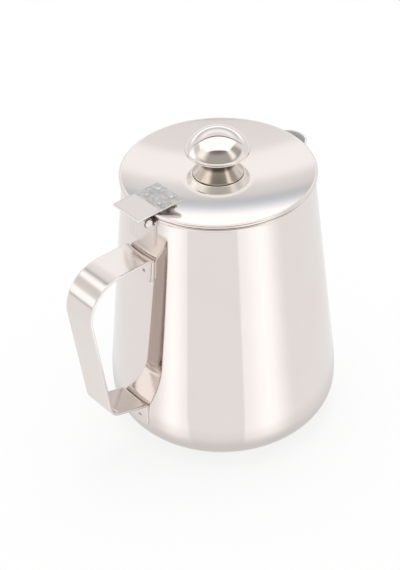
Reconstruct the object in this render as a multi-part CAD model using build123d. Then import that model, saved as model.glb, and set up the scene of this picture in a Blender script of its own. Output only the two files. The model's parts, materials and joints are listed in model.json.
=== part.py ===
# Hot milk jug of polished stainless steel: tapered body, beak spout, strip handle and a hinged lid.
# Millimetres, +Z up. The origin is the centre of the base, the spout points along +X, the handle along -X.
import math
import os

from build123d import *

# Jug body
body_height = 132.0
mouth_radius = 44.2
belt_swell = 10.8
belt_top = 20.3
shoulder_radius = 85.0
base_corner_radius = 17.0
body_wall = 0.8
rim_bead_radius = 0.9
base_ring_width = 6.0
base_recess_depth = 1.0
base_recess_slope = 3.0

# Spout
spout_reach = 7.6
spout_height = 34.0
spout_drop = 0.7
spout_tip_half_width = 5.5
spout_toe_half_width = 1.8
spout_flare = 0.9
spout_nose = 1.6
spout_root_depth = 3.2
spout_wall = 0.8
spout_bend = 1.4
spout_land = 1.0

# Handle strip
strip_width = 18.0
strip_thickness = 1.5
handle_top_drop = 21.8
handle_top_standoff = 30.0
handle_toe_standoff = 20.4
handle_toe_rise = 6.6
handle_foot_height = 28.0
handle_top_bend = 18.0
handle_toe_bend = 6.5
handle_pad_length = 12.5
handle_pad_corner = 3.0
weld_dot_radius = 1.3
weld_dot_depth = 0.25
weld_dot_pitch = 8.0
weld_dot_level = 7.0

# Hinge
pin_radius = 1.2
pin_head_rim = 0.7
pin_head_length = 0.8
eye_wall = 1.1
eye_rim_gap = 0.7
knuckle_width = 6.0
bracket_thickness = 1.0
bracket_length = 14.0
bracket_corner = 2.0
bracket_knee_height = 5.0
bracket_knee_slope = 1.0

# Lid
lid_overhang = 0.2
lid_sheet = 0.8
lid_hem_height = 1.7
lid_hem_width = 2.5
lid_dish_depth = 4.9
dish_flat_margin = 1.5

# Lid lever
lever_thickness = 1.2
lever_weld_length = 13.0
lever_bend_inset = 1.8
lever_thumb_overhang = 5.5
lever_corner = 1.8
lever_post_radius = 1.6
lever_post_inset = 3.0
lever_post_pitch = 9.0

# Knob
rosette_lip = 0.55
rosette_slope = 1.9
rosette_height = 3.2
rosette_sheet = 0.9
stem_foot_radius = 11.9
stem_foot_edge = 0.7
stem_flare_height = 5.1
stem_flare_bow = 0.3
stem_neck_radius = 7.0
stem_neck_length = 2.45
knob_radius = 15.0
knob_dome_height = 10.0
knob_dome_corner = 6.0
knob_pan_depth = 4.4
knob_pan_corner = 2.2
knob_sheet = 0.8
spigot_radius = 3.4
spigot_length = 2.2
screw_radius = 2.0
screw_head_radius = 3.8
screw_head_height = 2.4
screw_grip = 7.0
screw_slot_width = 1.0
screw_slot_depth = 1.0
washer_radius = 6.0
washer_thickness = 0.8

# Clearances
weld_gap = 0.05
seat_gap = 0.05
lid_rim_gap = 0.3
lever_seat_gap = 0.1
lever_eye_gap = 0.4
pin_fixed_clearance = 0.03
pin_running_clearance = 0.08
knuckle_side_gap = 0.3
screw_hole_clearance = 0.2
thread_clearance = 0.05
foot_clearance = 0.15

# How far a cutting block runs past what it cuts
cut_margin = 5.0

# Body and handle places
belt_radius = mouth_radius + belt_swell
base_ring_radius = belt_radius - base_corner_radius
base_recess_radius = base_ring_radius - base_ring_width - base_recess_slope
bead_centre_radius = mouth_radius - body_wall + rim_bead_radius
bead_centre_height = body_height - rim_bead_radius
strip_half = strip_width / 2
handle_top_height = body_height - handle_top_drop
handle_top_reach = belt_radius + handle_top_standoff
handle_toe_reach = belt_radius + handle_toe_standoff
handle_toe_height = handle_foot_height + handle_toe_rise

# Knob sizes
rosette_bore_radius = stem_foot_radius + foot_clearance
rosette_top_radius = rosette_bore_radius + rosette_lip
rosette_radius = rosette_top_radius + rosette_slope

# Lid places
lid_radius = bead_centre_radius + rim_bead_radius + lid_overhang
lid_hem_bottom = body_height + lid_rim_gap
lid_top = lid_hem_bottom + lid_hem_height
lid_underside = lid_top - lid_dish_depth - lid_sheet
dish_flat_radius = rosette_radius + dish_flat_margin
dish_edge_radius = lid_radius - lid_hem_width

# Hinge and lever places
eye_radius = pin_radius + eye_wall
hinge_height = lid_top + lever_seat_gap - lever_eye_gap - eye_radius
hinge_reach = bead_centre_radius + rim_bead_radius + eye_rim_gap + eye_radius
lever_bend_reach = dish_edge_radius - lever_bend_inset
lever_weld_end = lever_bend_reach - lever_weld_length
lever_thumb_reach = hinge_reach + lever_thumb_overhang

# Heights up the knob, from its seat on the lid
knob_base = lid_top - lid_dish_depth
stem_foot = knob_base + 2 * seat_gap + rosette_sheet
stem_shoulder = knob_base + rosette_height + stem_foot_edge
stem_neck = stem_shoulder + stem_flare_height
pan_seat = stem_neck + stem_neck_length
knob_seam = pan_seat + seat_gap + knob_pan_depth
screw_seat = lid_underside - seat_gap - washer_thickness - seat_gap

# The shoulder arc starts upright at the top of the belt and ends where it runs tangent to the neck cone.
shoulder_centre_radius = belt_radius - shoulder_radius
neck_offset = mouth_radius - shoulder_centre_radius
neck_rise = body_height - belt_top
neck_distance = math.hypot(neck_offset, neck_rise)
shoulder_angle = math.atan2(neck_rise, neck_offset) - math.acos(shoulder_radius / neck_distance)

# Cylinders and blocks that stand on a level or hang from it
STANDING = (Align.CENTER, Align.CENTER, Align.MIN)
HANGING = (Align.CENTER, Align.CENTER, Align.MAX)


def at(radius, height):
    """Point in the XZ half-plane that the round pieces are turned from."""
    return (radius, 0, height)


def on_circle(centre, radius, angle):
    """Point of a circle in that half-plane, with the angle in radians above the +X direction."""
    return at(centre[0] + radius * math.cos(angle), centre[2] + radius * math.sin(angle))


def arc(centre, radius, start, end):
    """Arc of that circle from one angle to another."""
    middle = (start + end) / 2
    return ThreePointArc(*[on_circle(centre, radius, angle) for angle in (start, middle, end)])


def turned(edges):
    """Solid of revolution about the jug's axis from a closed chain of edges."""
    return revolve(make_face(edges), Axis.Z)


def wall_radius(height, offset=0.0):
    """Radius of the outer wall above the shoulder, moved out by an offset."""
    start = on_circle(at(shoulder_centre_radius, belt_top), shoulder_radius + offset, shoulder_angle)
    return start[0] - (height - start[2]) * math.tan(shoulder_angle)


def wall_edges(offset, top):
    """Corner, belt, shoulder and neck of the wall, moved out by an offset, from the base up to a height."""
    corner = at(base_ring_radius, base_corner_radius)
    shoulder = at(shoulder_centre_radius, belt_top)
    belt = belt_radius + offset
    shoulder_end = on_circle(shoulder, shoulder_radius + offset, shoulder_angle)
    return [
        arc(corner, base_corner_radius + offset, -math.pi / 2, 0),
        Line(at(belt, base_corner_radius), at(belt, belt_top)),
        arc(shoulder, shoulder_radius + offset, 0, shoulder_angle),
        Line(shoulder_end, at(wall_radius(top, offset), top)),
    ]


def base_edges(level, offset):
    """Pressed-up base from the axis to the corner, with its outer ring at the given level."""
    points = [
        at(0, level + base_recess_depth),
        at(base_recess_radius, level + base_recess_depth),
        at(base_recess_radius + base_recess_slope, level),
        at(base_ring_radius, -offset),
    ]
    return [Line(start, end) for start, end in zip(points, points[1:])]


def filled_body(offset):
    """Body as a solid block with its rim bead, grown by an offset, for trimming what is welded to it."""
    edges = wall_edges(offset, body_height)
    top_radius = wall_radius(body_height, offset)
    closing = [
        Line(at(0, -offset), at(base_ring_radius, -offset)),
        Line(at(top_radius, body_height), at(0, body_height)),
        Line(at(0, body_height), at(0, -offset)),
    ]
    return turned(edges + closing) + rim_bead(offset)


def rim_bead(offset):
    """Rolled edge of the mouth."""
    ring = Torus(bead_centre_radius, rim_bead_radius + offset)
    return Pos(0, 0, bead_centre_height) * ring


def skin_patch(low, high, thickness, corner):
    """Plate of the strip's width that follows the body's wall behind, with rounded lower corners."""
    outline = Rectangle(strip_width, high - low)
    outline = fillet(outline.vertices().group_by(Axis.Y)[0], corner)
    handle_side = Plane(origin=at(0, (low + high) / 2), x_dir=(0, -1, 0), z_dir=(-1, 0, 0))
    window = extrude(handle_side * outline, belt_radius + thickness + cut_margin)
    return filled_body(weld_gap + thickness) & window


def make_body():
    """Deep-drawn shell with a pressed-up base, a rolled rim and the mouth of the spout."""
    inner = wall_edges(-body_wall, bead_centre_height)
    outer = wall_edges(0, bead_centre_height)
    rim = Line(at(wall_radius(bead_centre_height), bead_centre_height),
               at(wall_radius(bead_centre_height, -body_wall), bead_centre_height))
    axis = Line(at(0, base_recess_depth), at(0, base_recess_depth + body_wall))
    shell = turned(base_edges(0, 0) + outer + [rim] + inner + base_edges(body_wall, -body_wall) + [axis])
    return shell + rim_bead(0) - spout_block(spout_wall + spout_land, spout_land)


def spout_section(fraction, shrink):
    """Level section of the beak at a fraction of its height below the lip."""
    height = body_height - spout_drop - fraction * spout_height
    remain = max(1 - fraction, 0)
    tip = wall_radius(height) + spout_reach * remain ** spout_bend - shrink
    tip_half = spout_tip_half_width * (1 - fraction) + spout_toe_half_width * fraction - shrink / 2
    root = wall_radius(height) - spout_root_depth
    root_half = tip_half + (tip - spout_nose - root) * spout_flare
    left = (tip - spout_nose, tip_half, height)
    right = (tip - spout_nose, -tip_half, height)
    back_left = (root, root_half, height)
    back_right = (root, -root_half, height)
    return make_face([
        Line(back_right, right),
        ThreePointArc(right, (tip, 0, height), left),
        Line(left, back_left),
        Line(back_left, back_right),
    ])


def spout_block(shrink, rise):
    """Beak as a solid block, its walls moved in by a shrink and its top raised."""
    toe = 1 - shrink / spout_height
    sections = [spout_section(fraction, shrink) for fraction in (0, toe / 2, toe)]
    block = loft(sections)
    return block + extrude(sections[0], rise) if rise > 0 else block


def make_spout():
    """Beak pressed from sheet and welded over its mouth in the neck."""
    return spout_block(0, 0) - spout_block(spout_wall, spout_land) - filled_body(weld_gap)


def make_handle():
    """Bent strip whose two ends are turned down and spot-welded to the body."""
    top_inner = wall_radius(handle_top_height) - strip_thickness
    path = FilletPolyline(
        at(-top_inner, handle_top_height),
        at(-handle_top_reach, handle_top_height),
        at(-handle_toe_reach, handle_toe_height),
        at(-belt_radius + strip_thickness, handle_foot_height),
        radius=[handle_top_bend, handle_toe_bend],
    )
    start = Plane(origin=path @ 0, x_dir=(0, 1, 0), z_dir=path % 0)
    strip = sweep(start * Rectangle(strip_width, strip_thickness), path=path)
    ends = (handle_top_height, handle_foot_height)
    half = strip_thickness / 2
    pads = [
        skin_patch(height - handle_pad_length, height + half, strip_thickness, handle_pad_corner)
        for height in ends
    ]
    dots = [weld_dot(height - weld_dot_level, side) for height in ends for side in (-1, 1)]
    return strip + pads - filled_body(weld_gap) - dots


def weld_dot(height, side):
    """Shallow round dent that a spot weld leaves in the face of a handle pad."""
    across = side * weld_dot_pitch / 2
    face = (wall_radius(height) if height > belt_top else belt_radius) + weld_gap + strip_thickness
    ball_radius = (weld_dot_radius ** 2 + weld_dot_depth ** 2) / (2 * weld_dot_depth)
    centre_radius = face + ball_radius - weld_dot_depth
    return Pos(-math.sqrt(centre_radius ** 2 - across ** 2), across, height) * Sphere(ball_radius)


def hinge_axis_cylinder(radius, width):
    """Round bar along the hinge axis."""
    bar = Cylinder(radius, width, rotation=(90, 0, 0))
    return Pos(-hinge_reach, 0, hinge_height) * bar


def strip_in_profile(points, width):
    """Flat piece drawn from the side and extruded evenly to both sides of the jug's mid-plane."""
    outline = Polyline(*[at(*point) for point in points], close=True)
    return extrude(make_face(outline), width / 2, dir=(0, 1, 0), both=True)


def make_bracket():
    """Curved plate on the neck whose top is rolled into two eyes around the pin."""
    foot_top = body_height - 2 * rim_bead_radius - weld_gap
    foot = skin_patch(foot_top - bracket_length, foot_top, bracket_thickness, bracket_corner)
    inner = -(hinge_reach - eye_radius)
    outer = inner - bracket_thickness
    heel = -wall_radius(foot_top) + bracket_thickness
    knee_top = foot_top - bracket_thickness
    knee_bottom = foot_top - bracket_knee_height
    stem = strip_in_profile([
        (outer, hinge_height),
        (inner, hinge_height),
        (inner, knee_top),
        (heel, knee_top - bracket_knee_slope),
        (heel, knee_bottom),
        (outer, knee_bottom + 2 * bracket_knee_slope),
    ], strip_width)
    middle_width = knuckle_width + 2 * knuckle_side_gap
    gap_height = 2 * (eye_radius + lever_eye_gap)
    gap = Pos(-hinge_reach, 0, hinge_height) * Box(gap_height, middle_width, gap_height)
    eyes = hinge_axis_cylinder(eye_radius, strip_width)
    bore = hinge_axis_cylinder(pin_radius + pin_fixed_clearance, strip_width)
    return foot + stem - filled_body(weld_gap) + eyes - gap - bore


def make_pin():
    """Plain pin with a riveted head at each end."""
    head_places = [side * (strip_half + pin_head_length / 2 + seat_gap) for side in (-1, 1)]
    pin = hinge_axis_cylinder(pin_radius, strip_width + 2 * seat_gap + pin_head_length)
    for place in head_places:
        head = hinge_axis_cylinder(pin_radius + pin_head_rim, pin_head_length)
        rim = head.edges().group_by(Axis.Y)[-1 if place > 0 else 0]
        pin += Pos(0, place, 0) * fillet(rim, pin_head_length / 2)
    return pin


def dish_height(radius):
    """Height of the lid's upper face at a radius outside its flat middle."""
    return knob_base + dish_rise() - math.sqrt(dish_radius() ** 2 - radius ** 2)


def dish_rise():
    """Height of the dish's centre of curvature above the flat middle of the lid."""
    return ((dish_edge_radius ** 2 - dish_flat_radius ** 2) / lid_dish_depth + lid_dish_depth) / 2


def dish_radius():
    """Radius of the round dish between the flat middle of the lid and its hem."""
    return math.hypot(dish_flat_radius, dish_rise())


def make_lid():
    """Pressed dish with a hemmed edge that rests on the rim bead."""
    centre = at(0, knob_base + dish_rise())
    under_radius = dish_radius() + lid_sheet
    flat_angle = math.asin(dish_flat_radius / dish_radius()) - math.pi / 2
    edge_angle = math.asin(dish_edge_radius / dish_radius()) - math.pi / 2
    under_angle = math.acos((dish_rise() + lid_sheet) / under_radius) - math.pi / 2
    upper_arc = arc(centre, dish_radius(), flat_angle, edge_angle)
    lower_arc = arc(centre, under_radius, under_angle, edge_angle)
    hole = screw_radius + screw_hole_clearance
    sheet = turned([
        Line(at(hole, lid_underside), at(hole, knob_base)),
        Line(at(hole, knob_base), at(dish_flat_radius, knob_base)),
        upper_arc,
        Line(upper_arc @ 1, lower_arc @ 1),
        lower_arc,
        Line(lower_arc @ 0, at(hole, lid_underside)),
    ])
    half = lid_hem_height / 2
    nose = at(lid_radius - half, lid_hem_bottom + half)
    inner_nose = at(dish_edge_radius, lid_hem_bottom + half)
    hem = turned([
        arc(nose, half, -math.pi / 2, math.pi / 2),
        Line(at(lid_radius - half, lid_top), at(dish_edge_radius, lid_top)),
        arc(inner_nose, half, math.pi / 2, 3 * math.pi / 2),
        Line(at(dish_edge_radius, lid_hem_bottom), at(lid_radius - half, lid_hem_bottom)),
    ])
    return sheet + hem


def lever_post(reach, across, low):
    """Round weld post that fills the gap between the lever and the dish."""
    foot = dish_height(math.hypot(reach + lever_post_radius, abs(across) + lever_post_radius)) + weld_gap
    height = low + lever_thickness / 2 - foot
    return Pos(-reach, across, foot + height / 2) * Cylinder(lever_post_radius, height)


def make_lever():
    """Level strip on the lid's hem with four welded posts, a thumb rest and a knuckle around the pin."""
    low = lid_top + lever_seat_gap
    top = low + lever_thickness
    plate = strip_in_profile([
        (-lever_weld_end, low),
        (-lever_thumb_reach, low),
        (-lever_thumb_reach, top),
        (-lever_weld_end, top),
    ], strip_width)
    plate = fillet(plate.edges().filter_by(Axis.Z), lever_corner)
    for reach in (lever_weld_end + lever_post_inset, lever_bend_reach - lever_post_inset):
        for side in (-1, 1):
            plate += lever_post(reach, side * lever_post_pitch / 2, low)
    tongue_outer = -(hinge_reach + eye_radius)
    tongue = strip_in_profile([
        (tongue_outer, hinge_height),
        (tongue_outer, low + lever_thickness / 2),
        (tongue_outer + lever_thickness, low + lever_thickness / 2),
        (tongue_outer + lever_thickness, hinge_height),
    ], knuckle_width)
    knuckle = hinge_axis_cylinder(eye_radius, knuckle_width)
    bore = hinge_axis_cylinder(pin_radius + pin_running_clearance, strip_width)
    return plate + tongue + knuckle - bore


def make_rosette():
    """Conical ring that seats the knob on the lid."""
    low = knob_base + seat_gap
    ledge = low + rosette_sheet
    top = low + rosette_height
    hole = rosette_bore_radius - rosette_sheet
    return turned(Polyline(
        at(hole, low),
        at(rosette_radius, low),
        at(rosette_top_radius, top),
        at(rosette_bore_radius, top),
        at(rosette_bore_radius, ledge),
        at(hole, ledge),
        close=True,
    ))


def make_stem():
    """Turned stem with a flared foot below and a spigot for the hollow knob above."""
    spigot_top = pan_seat + knob_sheet + spigot_length
    middle_radius = (stem_foot_radius + stem_neck_radius) / 2 - stem_flare_bow
    middle_height = (stem_shoulder + stem_neck) / 2 - stem_flare_bow
    flare_start = at(stem_foot_radius, stem_shoulder)
    flare_end = at(stem_neck_radius, stem_neck)
    foot = Polyline(at(0, stem_foot), at(stem_foot_radius, stem_foot), flare_start)
    neck = Polyline(
        flare_end,
        at(stem_neck_radius, pan_seat),
        at(spigot_radius, pan_seat),
        at(spigot_radius, spigot_top),
        at(0, spigot_top),
        at(0, stem_foot),
    )
    flare = ThreePointArc(flare_start, at(middle_radius, middle_height), flare_end)
    thread_depth = screw_grip + screw_hole_clearance
    bore = Cylinder(screw_radius + thread_clearance, thread_depth, align=STANDING)
    return turned([foot, flare, neck]) - Pos(0, 0, stem_foot) * bore


def oval_edges(height, corner, inset, level, side):
    """Half an oval from the seam to the axis: a corner arc that runs into a crown arc."""
    run = knob_radius - corner
    drop = (run ** 2 - (height - corner) ** 2) / (2 * (height - corner))
    meet = math.atan2(drop, run) * side
    crown = at(0, level - side * drop)
    return [
        arc(at(run, level), corner - inset, 0, meet),
        arc(crown, height + drop - inset, meet, side * math.pi / 2),
    ]


def knob_shell(height, corner, level, side):
    """One of the two pressed shells of the hollow knob."""
    outer_pole = level + side * height
    inner_pole = outer_pole - side * knob_sheet
    return turned(
        oval_edges(height, corner, 0, level, side)
        + [Line(at(0, outer_pole), at(0, inner_pole))]
        + oval_edges(height, corner, knob_sheet, level, side)
        + [Line(at(knob_radius - knob_sheet, level), at(knob_radius, level))]
    )


def make_dome():
    """Upper shell of the hollow knob."""
    return knob_shell(knob_dome_height, knob_dome_corner, knob_seam + seat_gap, 1)


def make_pan():
    """Lower shell of the hollow knob, with a hole for the stem's spigot."""
    hole = Cylinder(spigot_radius + foot_clearance, 2 * (knob_pan_depth + cut_margin))
    return knob_shell(knob_pan_depth, knob_pan_corner, knob_seam, -1) - Pos(0, 0, knob_seam) * hole


def make_screw():
    """Slotted pan-head screw that draws the knob down through the lid."""
    shank = Cylinder(screw_radius, stem_foot + screw_grip - screw_seat, align=STANDING)
    head = Cylinder(screw_head_radius, screw_head_height, align=HANGING)
    head = fillet(head.edges().group_by(Axis.Z)[0], screw_head_height / 2)
    slot = Box(2 * (screw_head_radius + cut_margin), screw_slot_width, screw_slot_depth, align=STANDING)
    return Pos(0, 0, screw_seat) * (head - Pos(0, 0, -screw_head_height) * slot + shank)


def make_washer():
    """Flat washer under the lid."""
    disc = Cylinder(washer_radius, washer_thickness, align=HANGING)
    hole = Cylinder(screw_radius + screw_hole_clearance, 2 * (washer_thickness + cut_margin))
    return Pos(0, 0, lid_underside - seat_gap) * (disc - hole)


parts = {
    "jug_body": make_body(),
    "spout": make_spout(),
    "handle": make_handle(),
    "hinge_bracket": make_bracket(),
    "hinge_pin": make_pin(),
    "lid": make_lid(),
    "lid_lever": make_lever(),
    "knob_rosette": make_rosette(),
    "knob_stem": make_stem(),
    "knob_pan": make_pan(),
    "knob_dome": make_dome(),
    "knob_screw": make_screw(),
    "knob_washer": make_washer(),
}

os.makedirs("parts", exist_ok=True)
for node, solid in parts.items():
    solid.label = node
    export_step(solid, f"parts/{node}.step")
    print(node, round(solid.volume, 1))
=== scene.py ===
"""Hot milk jug of polished stainless steel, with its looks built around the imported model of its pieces."""

import json
import math

import bmesh
import bpy
from bpy.props import FloatProperty, FloatVectorProperty, IntProperty, PointerProperty
from mathutils import Matrix, Vector, noise
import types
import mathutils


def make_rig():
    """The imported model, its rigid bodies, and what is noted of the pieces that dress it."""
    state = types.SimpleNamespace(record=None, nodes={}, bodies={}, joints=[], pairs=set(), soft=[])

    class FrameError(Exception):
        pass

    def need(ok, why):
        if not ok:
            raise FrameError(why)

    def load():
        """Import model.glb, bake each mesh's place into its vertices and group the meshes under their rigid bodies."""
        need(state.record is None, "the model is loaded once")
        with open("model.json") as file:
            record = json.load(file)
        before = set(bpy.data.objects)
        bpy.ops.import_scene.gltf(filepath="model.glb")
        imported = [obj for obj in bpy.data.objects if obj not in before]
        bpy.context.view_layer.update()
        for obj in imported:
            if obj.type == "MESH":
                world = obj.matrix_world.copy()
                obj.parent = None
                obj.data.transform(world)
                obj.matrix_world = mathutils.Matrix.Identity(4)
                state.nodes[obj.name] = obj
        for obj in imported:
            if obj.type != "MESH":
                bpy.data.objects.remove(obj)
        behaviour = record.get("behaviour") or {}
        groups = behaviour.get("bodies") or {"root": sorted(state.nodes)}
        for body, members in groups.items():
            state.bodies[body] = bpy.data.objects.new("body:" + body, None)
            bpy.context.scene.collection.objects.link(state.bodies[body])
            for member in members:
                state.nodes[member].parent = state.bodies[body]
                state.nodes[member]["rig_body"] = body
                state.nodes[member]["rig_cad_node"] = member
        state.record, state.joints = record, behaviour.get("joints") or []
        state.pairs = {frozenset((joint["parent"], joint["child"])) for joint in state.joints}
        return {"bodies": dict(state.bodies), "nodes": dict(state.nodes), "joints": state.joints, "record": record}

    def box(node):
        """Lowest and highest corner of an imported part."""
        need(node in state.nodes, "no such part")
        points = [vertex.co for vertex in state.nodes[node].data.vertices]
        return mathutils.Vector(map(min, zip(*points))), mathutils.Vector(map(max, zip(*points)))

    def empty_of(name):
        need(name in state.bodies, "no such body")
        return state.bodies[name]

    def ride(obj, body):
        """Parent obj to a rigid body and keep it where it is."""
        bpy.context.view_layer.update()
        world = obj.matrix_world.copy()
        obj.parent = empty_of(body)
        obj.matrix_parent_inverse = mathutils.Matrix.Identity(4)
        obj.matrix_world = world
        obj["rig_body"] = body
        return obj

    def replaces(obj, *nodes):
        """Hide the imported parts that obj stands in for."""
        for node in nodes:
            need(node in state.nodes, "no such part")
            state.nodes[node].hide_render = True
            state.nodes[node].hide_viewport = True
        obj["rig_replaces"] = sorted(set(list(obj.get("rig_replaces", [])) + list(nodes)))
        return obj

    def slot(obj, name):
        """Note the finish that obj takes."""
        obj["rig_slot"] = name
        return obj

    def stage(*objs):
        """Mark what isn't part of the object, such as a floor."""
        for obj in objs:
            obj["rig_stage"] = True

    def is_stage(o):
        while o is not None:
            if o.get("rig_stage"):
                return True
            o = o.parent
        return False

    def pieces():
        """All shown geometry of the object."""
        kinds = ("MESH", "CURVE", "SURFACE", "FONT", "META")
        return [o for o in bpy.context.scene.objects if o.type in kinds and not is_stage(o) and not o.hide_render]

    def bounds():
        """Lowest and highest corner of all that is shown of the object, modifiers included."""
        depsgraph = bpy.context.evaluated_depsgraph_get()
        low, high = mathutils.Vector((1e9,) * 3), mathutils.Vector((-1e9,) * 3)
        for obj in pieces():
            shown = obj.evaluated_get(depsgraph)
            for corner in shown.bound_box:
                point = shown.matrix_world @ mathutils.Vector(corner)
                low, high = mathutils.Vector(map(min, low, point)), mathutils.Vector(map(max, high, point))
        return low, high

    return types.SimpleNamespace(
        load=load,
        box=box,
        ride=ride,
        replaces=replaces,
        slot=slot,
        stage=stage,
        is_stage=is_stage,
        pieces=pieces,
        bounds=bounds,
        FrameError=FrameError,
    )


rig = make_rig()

bl_info = {
    "name": "Hot Milk Jug",
    "version": (1, 0, 0),
    "blender": (4, 5, 0),
    "location": "View3D > Sidebar > Milk Jug",
    "description": "Builds a polished steel milk jug with a hinged lid, and a pale studio around it",
    "category": "Add Mesh",
}

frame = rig.load()
CAD_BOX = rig.bounds()
BOXES = {node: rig.box(node) for node in frame["nodes"]}
HINGE = Vector(frame["joints"][0]["pos_m"])
SIZE_FILE = "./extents.json"


def mm(value):
    """Millimetres as metres."""
    return value / 1000


GAP = mm(0.05)  # Play between pieces that touch
AXIS = mm(0.01)  # Radius at which a turned outline ends beside its axis


def length(label, note, default):
    """Size that the panel shows in the scene's own unit."""
    return FloatProperty(name=label, description=note, default=default, min=0, unit="LENGTH", precision=5)


def number(label, note, default):
    """Plain ratio or exponent."""
    return FloatProperty(name=label, description=note, default=default, min=0)


def angle(label, note, degrees):
    """Angle that the panel shows in the scene's own unit."""
    return FloatProperty(name=label, description=note, default=math.radians(degrees), subtype="ANGLE")


def tint(label, note, default):
    """Colour in linear light."""
    return FloatVectorProperty(name=label, description=note, default=default, subtype="COLOR", min=0, max=1)


class BodySizes(bpy.types.PropertyGroup):
    """Sizes of the drawn shell."""

    height: length("Height", "Top of the rolled rim", BOXES["jug_body"][1].z)
    belt_radius: length("Belt radius", "Widest radius of the body", BOXES["jug_body"][1].y)
    mouth_radius: length("Mouth radius", "Outer radius of the wall at the rim", mm(44.2))
    belt_top: length("Belt top", "Height where the shoulder starts", mm(20.3))
    shoulder_radius: length("Shoulder radius", "Radius of the curve above the belt", mm(85))
    corner_radius: length("Corner radius", "Radius between the base and the belt", mm(17))
    wall: length("Wall", "Thickness of the sheet", mm(0.8))
    rim_bead: length("Rim bead", "Radius of the rolled rim", mm(0.9))
    ring_width: length("Base ring", "Width of the ring that the jug stands on", mm(6))
    recess_depth: length("Base recess", "How far the base is pressed up", mm(1))
    recess_slope: length("Base slope", "Width of the slope up to the pressed base", mm(3))


class SpoutSizes(bpy.types.PropertyGroup):
    """Sizes of the beak."""

    reach: length("Reach", "How far the lip stands out past the neck", mm(7.6))
    height: length("Height", "From the lip down to the toe", mm(34))
    drop: length("Drop", "How far the lip lies below the rim", mm(0.7))
    tip_half_width: length("Tip half width", "Half the width of the beak at its lip", mm(5.5))
    toe_half_width: length("Toe half width", "Half the width of the beak at its toe", mm(1.8))
    flare: number("Flare", "Widening of the beak towards the neck", 0.9)
    nose: length("Nose", "Depth of the rounded front", mm(1.6))
    wall: length("Wall", "Thickness of the sheet", mm(0.8))
    bend: number("Bend", "Exponent of the curve from lip to toe", 1.4)
    land: length("Land", "Overlap of the beak on the edge of its mouth in the neck", mm(1))


class HandleSizes(bpy.types.PropertyGroup):
    """Sizes of the bent strip."""

    width: length("Width", "Width of the strip", BOXES["handle"][1].y - BOXES["handle"][0].y)
    thickness: length("Thickness", "Thickness of the strip", mm(1.5))
    top_drop: length("Top drop", "Upper arm's distance below the rim", mm(21.8))
    top_standoff: length("Top standoff", "Upper corner's distance from the belt", mm(30))
    toe_standoff: length("Toe standoff", "Lower corner's distance from the belt", mm(20.4))
    toe_rise: length("Toe rise", "Lower corner's height above the foot", mm(6.6))
    foot_height: length("Foot height", "Height where the lower arm meets the body", mm(28))
    top_bend: length("Top bend", "Radius of the upper corner", mm(18))
    toe_bend: length("Toe bend", "Radius of the lower corner", mm(6.5))
    pad_bend: length("Pad bend", "Radius of the fold into a welded pad", mm(1.4))
    pad_length: length("Pad length", "Length of a welded pad", mm(12.5))
    pad_corner: length("Pad corner", "Rounding of a pad's end", mm(3))
    edge: length("Edge", "Rounding of the strip's edges", mm(0.35))
    dot_radius: length("Weld radius", "Radius of a spot weld's dent", mm(1.3))
    dot_depth: length("Weld depth", "Depth of a spot weld's dent", mm(0.25))
    dot_pitch: length("Weld pitch", "Distance between the two dents of a pad", mm(8))
    dot_level: length("Weld level", "Depth of the dents below the fold", mm(7))


class LidSizes(bpy.types.PropertyGroup):
    """Sizes of the lid and its lever."""

    radius: length("Radius", "Outer radius of the hem", BOXES["lid"][1].y)
    top: length("Top", "Height of the hem's upper face", BOXES["lid"][1].z)
    sheet: length("Sheet", "Thickness of the lid", mm(0.8))
    hem_height: length("Hem height", "Thickness of the hemmed edge", mm(1.7))
    hem_width: length("Hem width", "Width of the hemmed edge", mm(2.5))
    lip: length("Lip", "Width of the hem's rounded edge", mm(0.9))
    dish_depth: length("Dish depth", "How deep the lid is dished", mm(4.9))
    dish_flat: length("Dish flat", "Radius of the flat middle", mm(16))
    screw_hole: length("Screw hole", "Radius of the hole under the knob", mm(2.2))
    lever_thickness: length("Lever thickness", "Thickness of the lever", mm(1.2))
    lever_width: length("Lever width", "Width of the lever", mm(18))
    lever_weld: length("Lever weld", "Length of the welded part", mm(13))
    lever_inset: length("Lever inset", "Distance of the welded part from the hem", mm(1.8))
    lever_seat: length("Lever seat", "Gap between the hem and the lever", mm(0.1))
    thumb_overhang: length("Thumb overhang", "Reach of the thumb rest past the hinge", mm(5.5))
    lever_corner: length("Lever corner", "Rounding of the lever's corners", mm(0.7))
    post_radius: length("Post radius", "Radius of the posts and of the dents over them", mm(1.6))
    post_inset: length("Post inset", "Distance of the posts from the ends of the welded part", mm(3))
    post_pitch: length("Post pitch", "Distance between the posts across the lever", mm(9))
    dent_depth: length("Dent depth", "Depth of the dent over a post", mm(0.8))
    mottle_depth: length("Mottle depth", "Depth of the hammered marks", mm(0.17))
    mottle_size: length("Mottle size", "Distance between the hammered marks", mm(2.2))
    knuckle_width: length("Knuckle width", "Width of the knuckle between the eyes", mm(6))
    eye_radius: length("Eye radius", "Outer radius of the eyes and the knuckle", mm(2.3))
    pin_radius: length("Pin radius", "Radius of the hinge pin", mm(1.2))


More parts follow.
